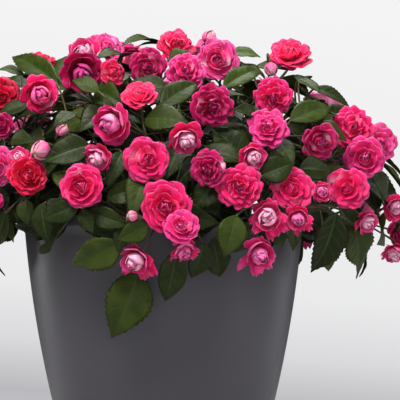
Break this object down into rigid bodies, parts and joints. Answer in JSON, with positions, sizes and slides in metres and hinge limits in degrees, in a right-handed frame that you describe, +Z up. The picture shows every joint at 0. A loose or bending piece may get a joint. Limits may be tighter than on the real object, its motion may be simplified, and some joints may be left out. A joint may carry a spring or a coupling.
{
  "type": "potted busy lizzie",
  "caption": "Double busy lizzie in full bloom, a leafy mound of rose-like flowers over the rim of a round tapered planter.",
  "frame": {"origin": "centre of the planter's foot, on the surface it stands on", "axes": "+Z up along the planter's axis, -Y towards the show side, +X to the right seen from the show side"},
  "size_m": [0.5039, 0.5179, 0.4448],
  "materials": {
    "planter": "satin dark grey",
    "compost": "rough dark compost",
    "foliage": "soft sheen leaf and stem green",
    "petals_hot": "velvety hot pink",
    "petals_deep": "velvety deep magenta",
    "petals_coral": "velvety coral red",
    "petals_pale": "velvety pale pink"
  },
  "bodies": {
    "root": {"planter": "planter", "compost": "compost", "leafy_stem_01": "foliage", "leafy_stem_02": "foliage", "leafy_stem_03": "foliage", "leafy_stem_04": "foliage", "leafy_stem_05": "foliage", "leafy_stem_06": "foliage", "leafy_stem_07": "foliage", "leafy_stem_08": "foliage", "leafy_stem_09": "foliage", "leafy_stem_10": "foliage", "leafy_stem_11": "foliage", "leafy_stem_12": "foliage", "leafy_stem_13": "foliage", "leafy_stem_14": "foliage", "leafy_stem_15": "foliage", "bloom_spray_01": "petals_coral", "bloom_spray_02": "petals_hot", "bloom_spray_03": "petals_pale", "bloom_spray_04": "petals_coral", "bloom_spray_05": "petals_hot", "bloom_spray_06": "petals_deep", "bloom_spray_07": "petals_coral", "bloom_spray_08": "petals_coral", "bloom_spray_09": "petals_hot", "bloom_spray_10": "petals_hot", "bloom_spray_11": "petals_pale", "bloom_spray_12": "petals_pale", "bloom_spray_13": "petals_hot", "bloom_spray_14": "petals_pale", "bloom_spray_15": "petals_hot", "bloom_spray_16": "petals_hot", "bloom_spray_17": "petals_hot", "bloom_spray_18": "petals_pale", "bloom_spray_19": "petals_pale", "bloom_spray_20": "petals_deep", "bloom_spray_21": "petals_hot", "bloom_spray_22": "petals_pale", "bloom_spray_23": "petals_deep", "bloom_spray_24": "petals_hot", "bloom_spray_25": "petals_coral", "bloom_spray_26": "petals_deep", "bloom_spray_27": "petals_hot", "bloom_spray_28": "petals_hot", "bloom_spray_29": "petals_hot", "bloom_spray_30": "petals_coral", "bloom_spray_31": "petals_pale", "bloom_spray_32": "petals_hot", "bloom_spray_33": "petals_deep", "bloom_spray_34": "petals_hot", "bloom_spray_35": "petals_pale", "bloom_spray_36": "petals_hot"}
  },
  "joints": []
}
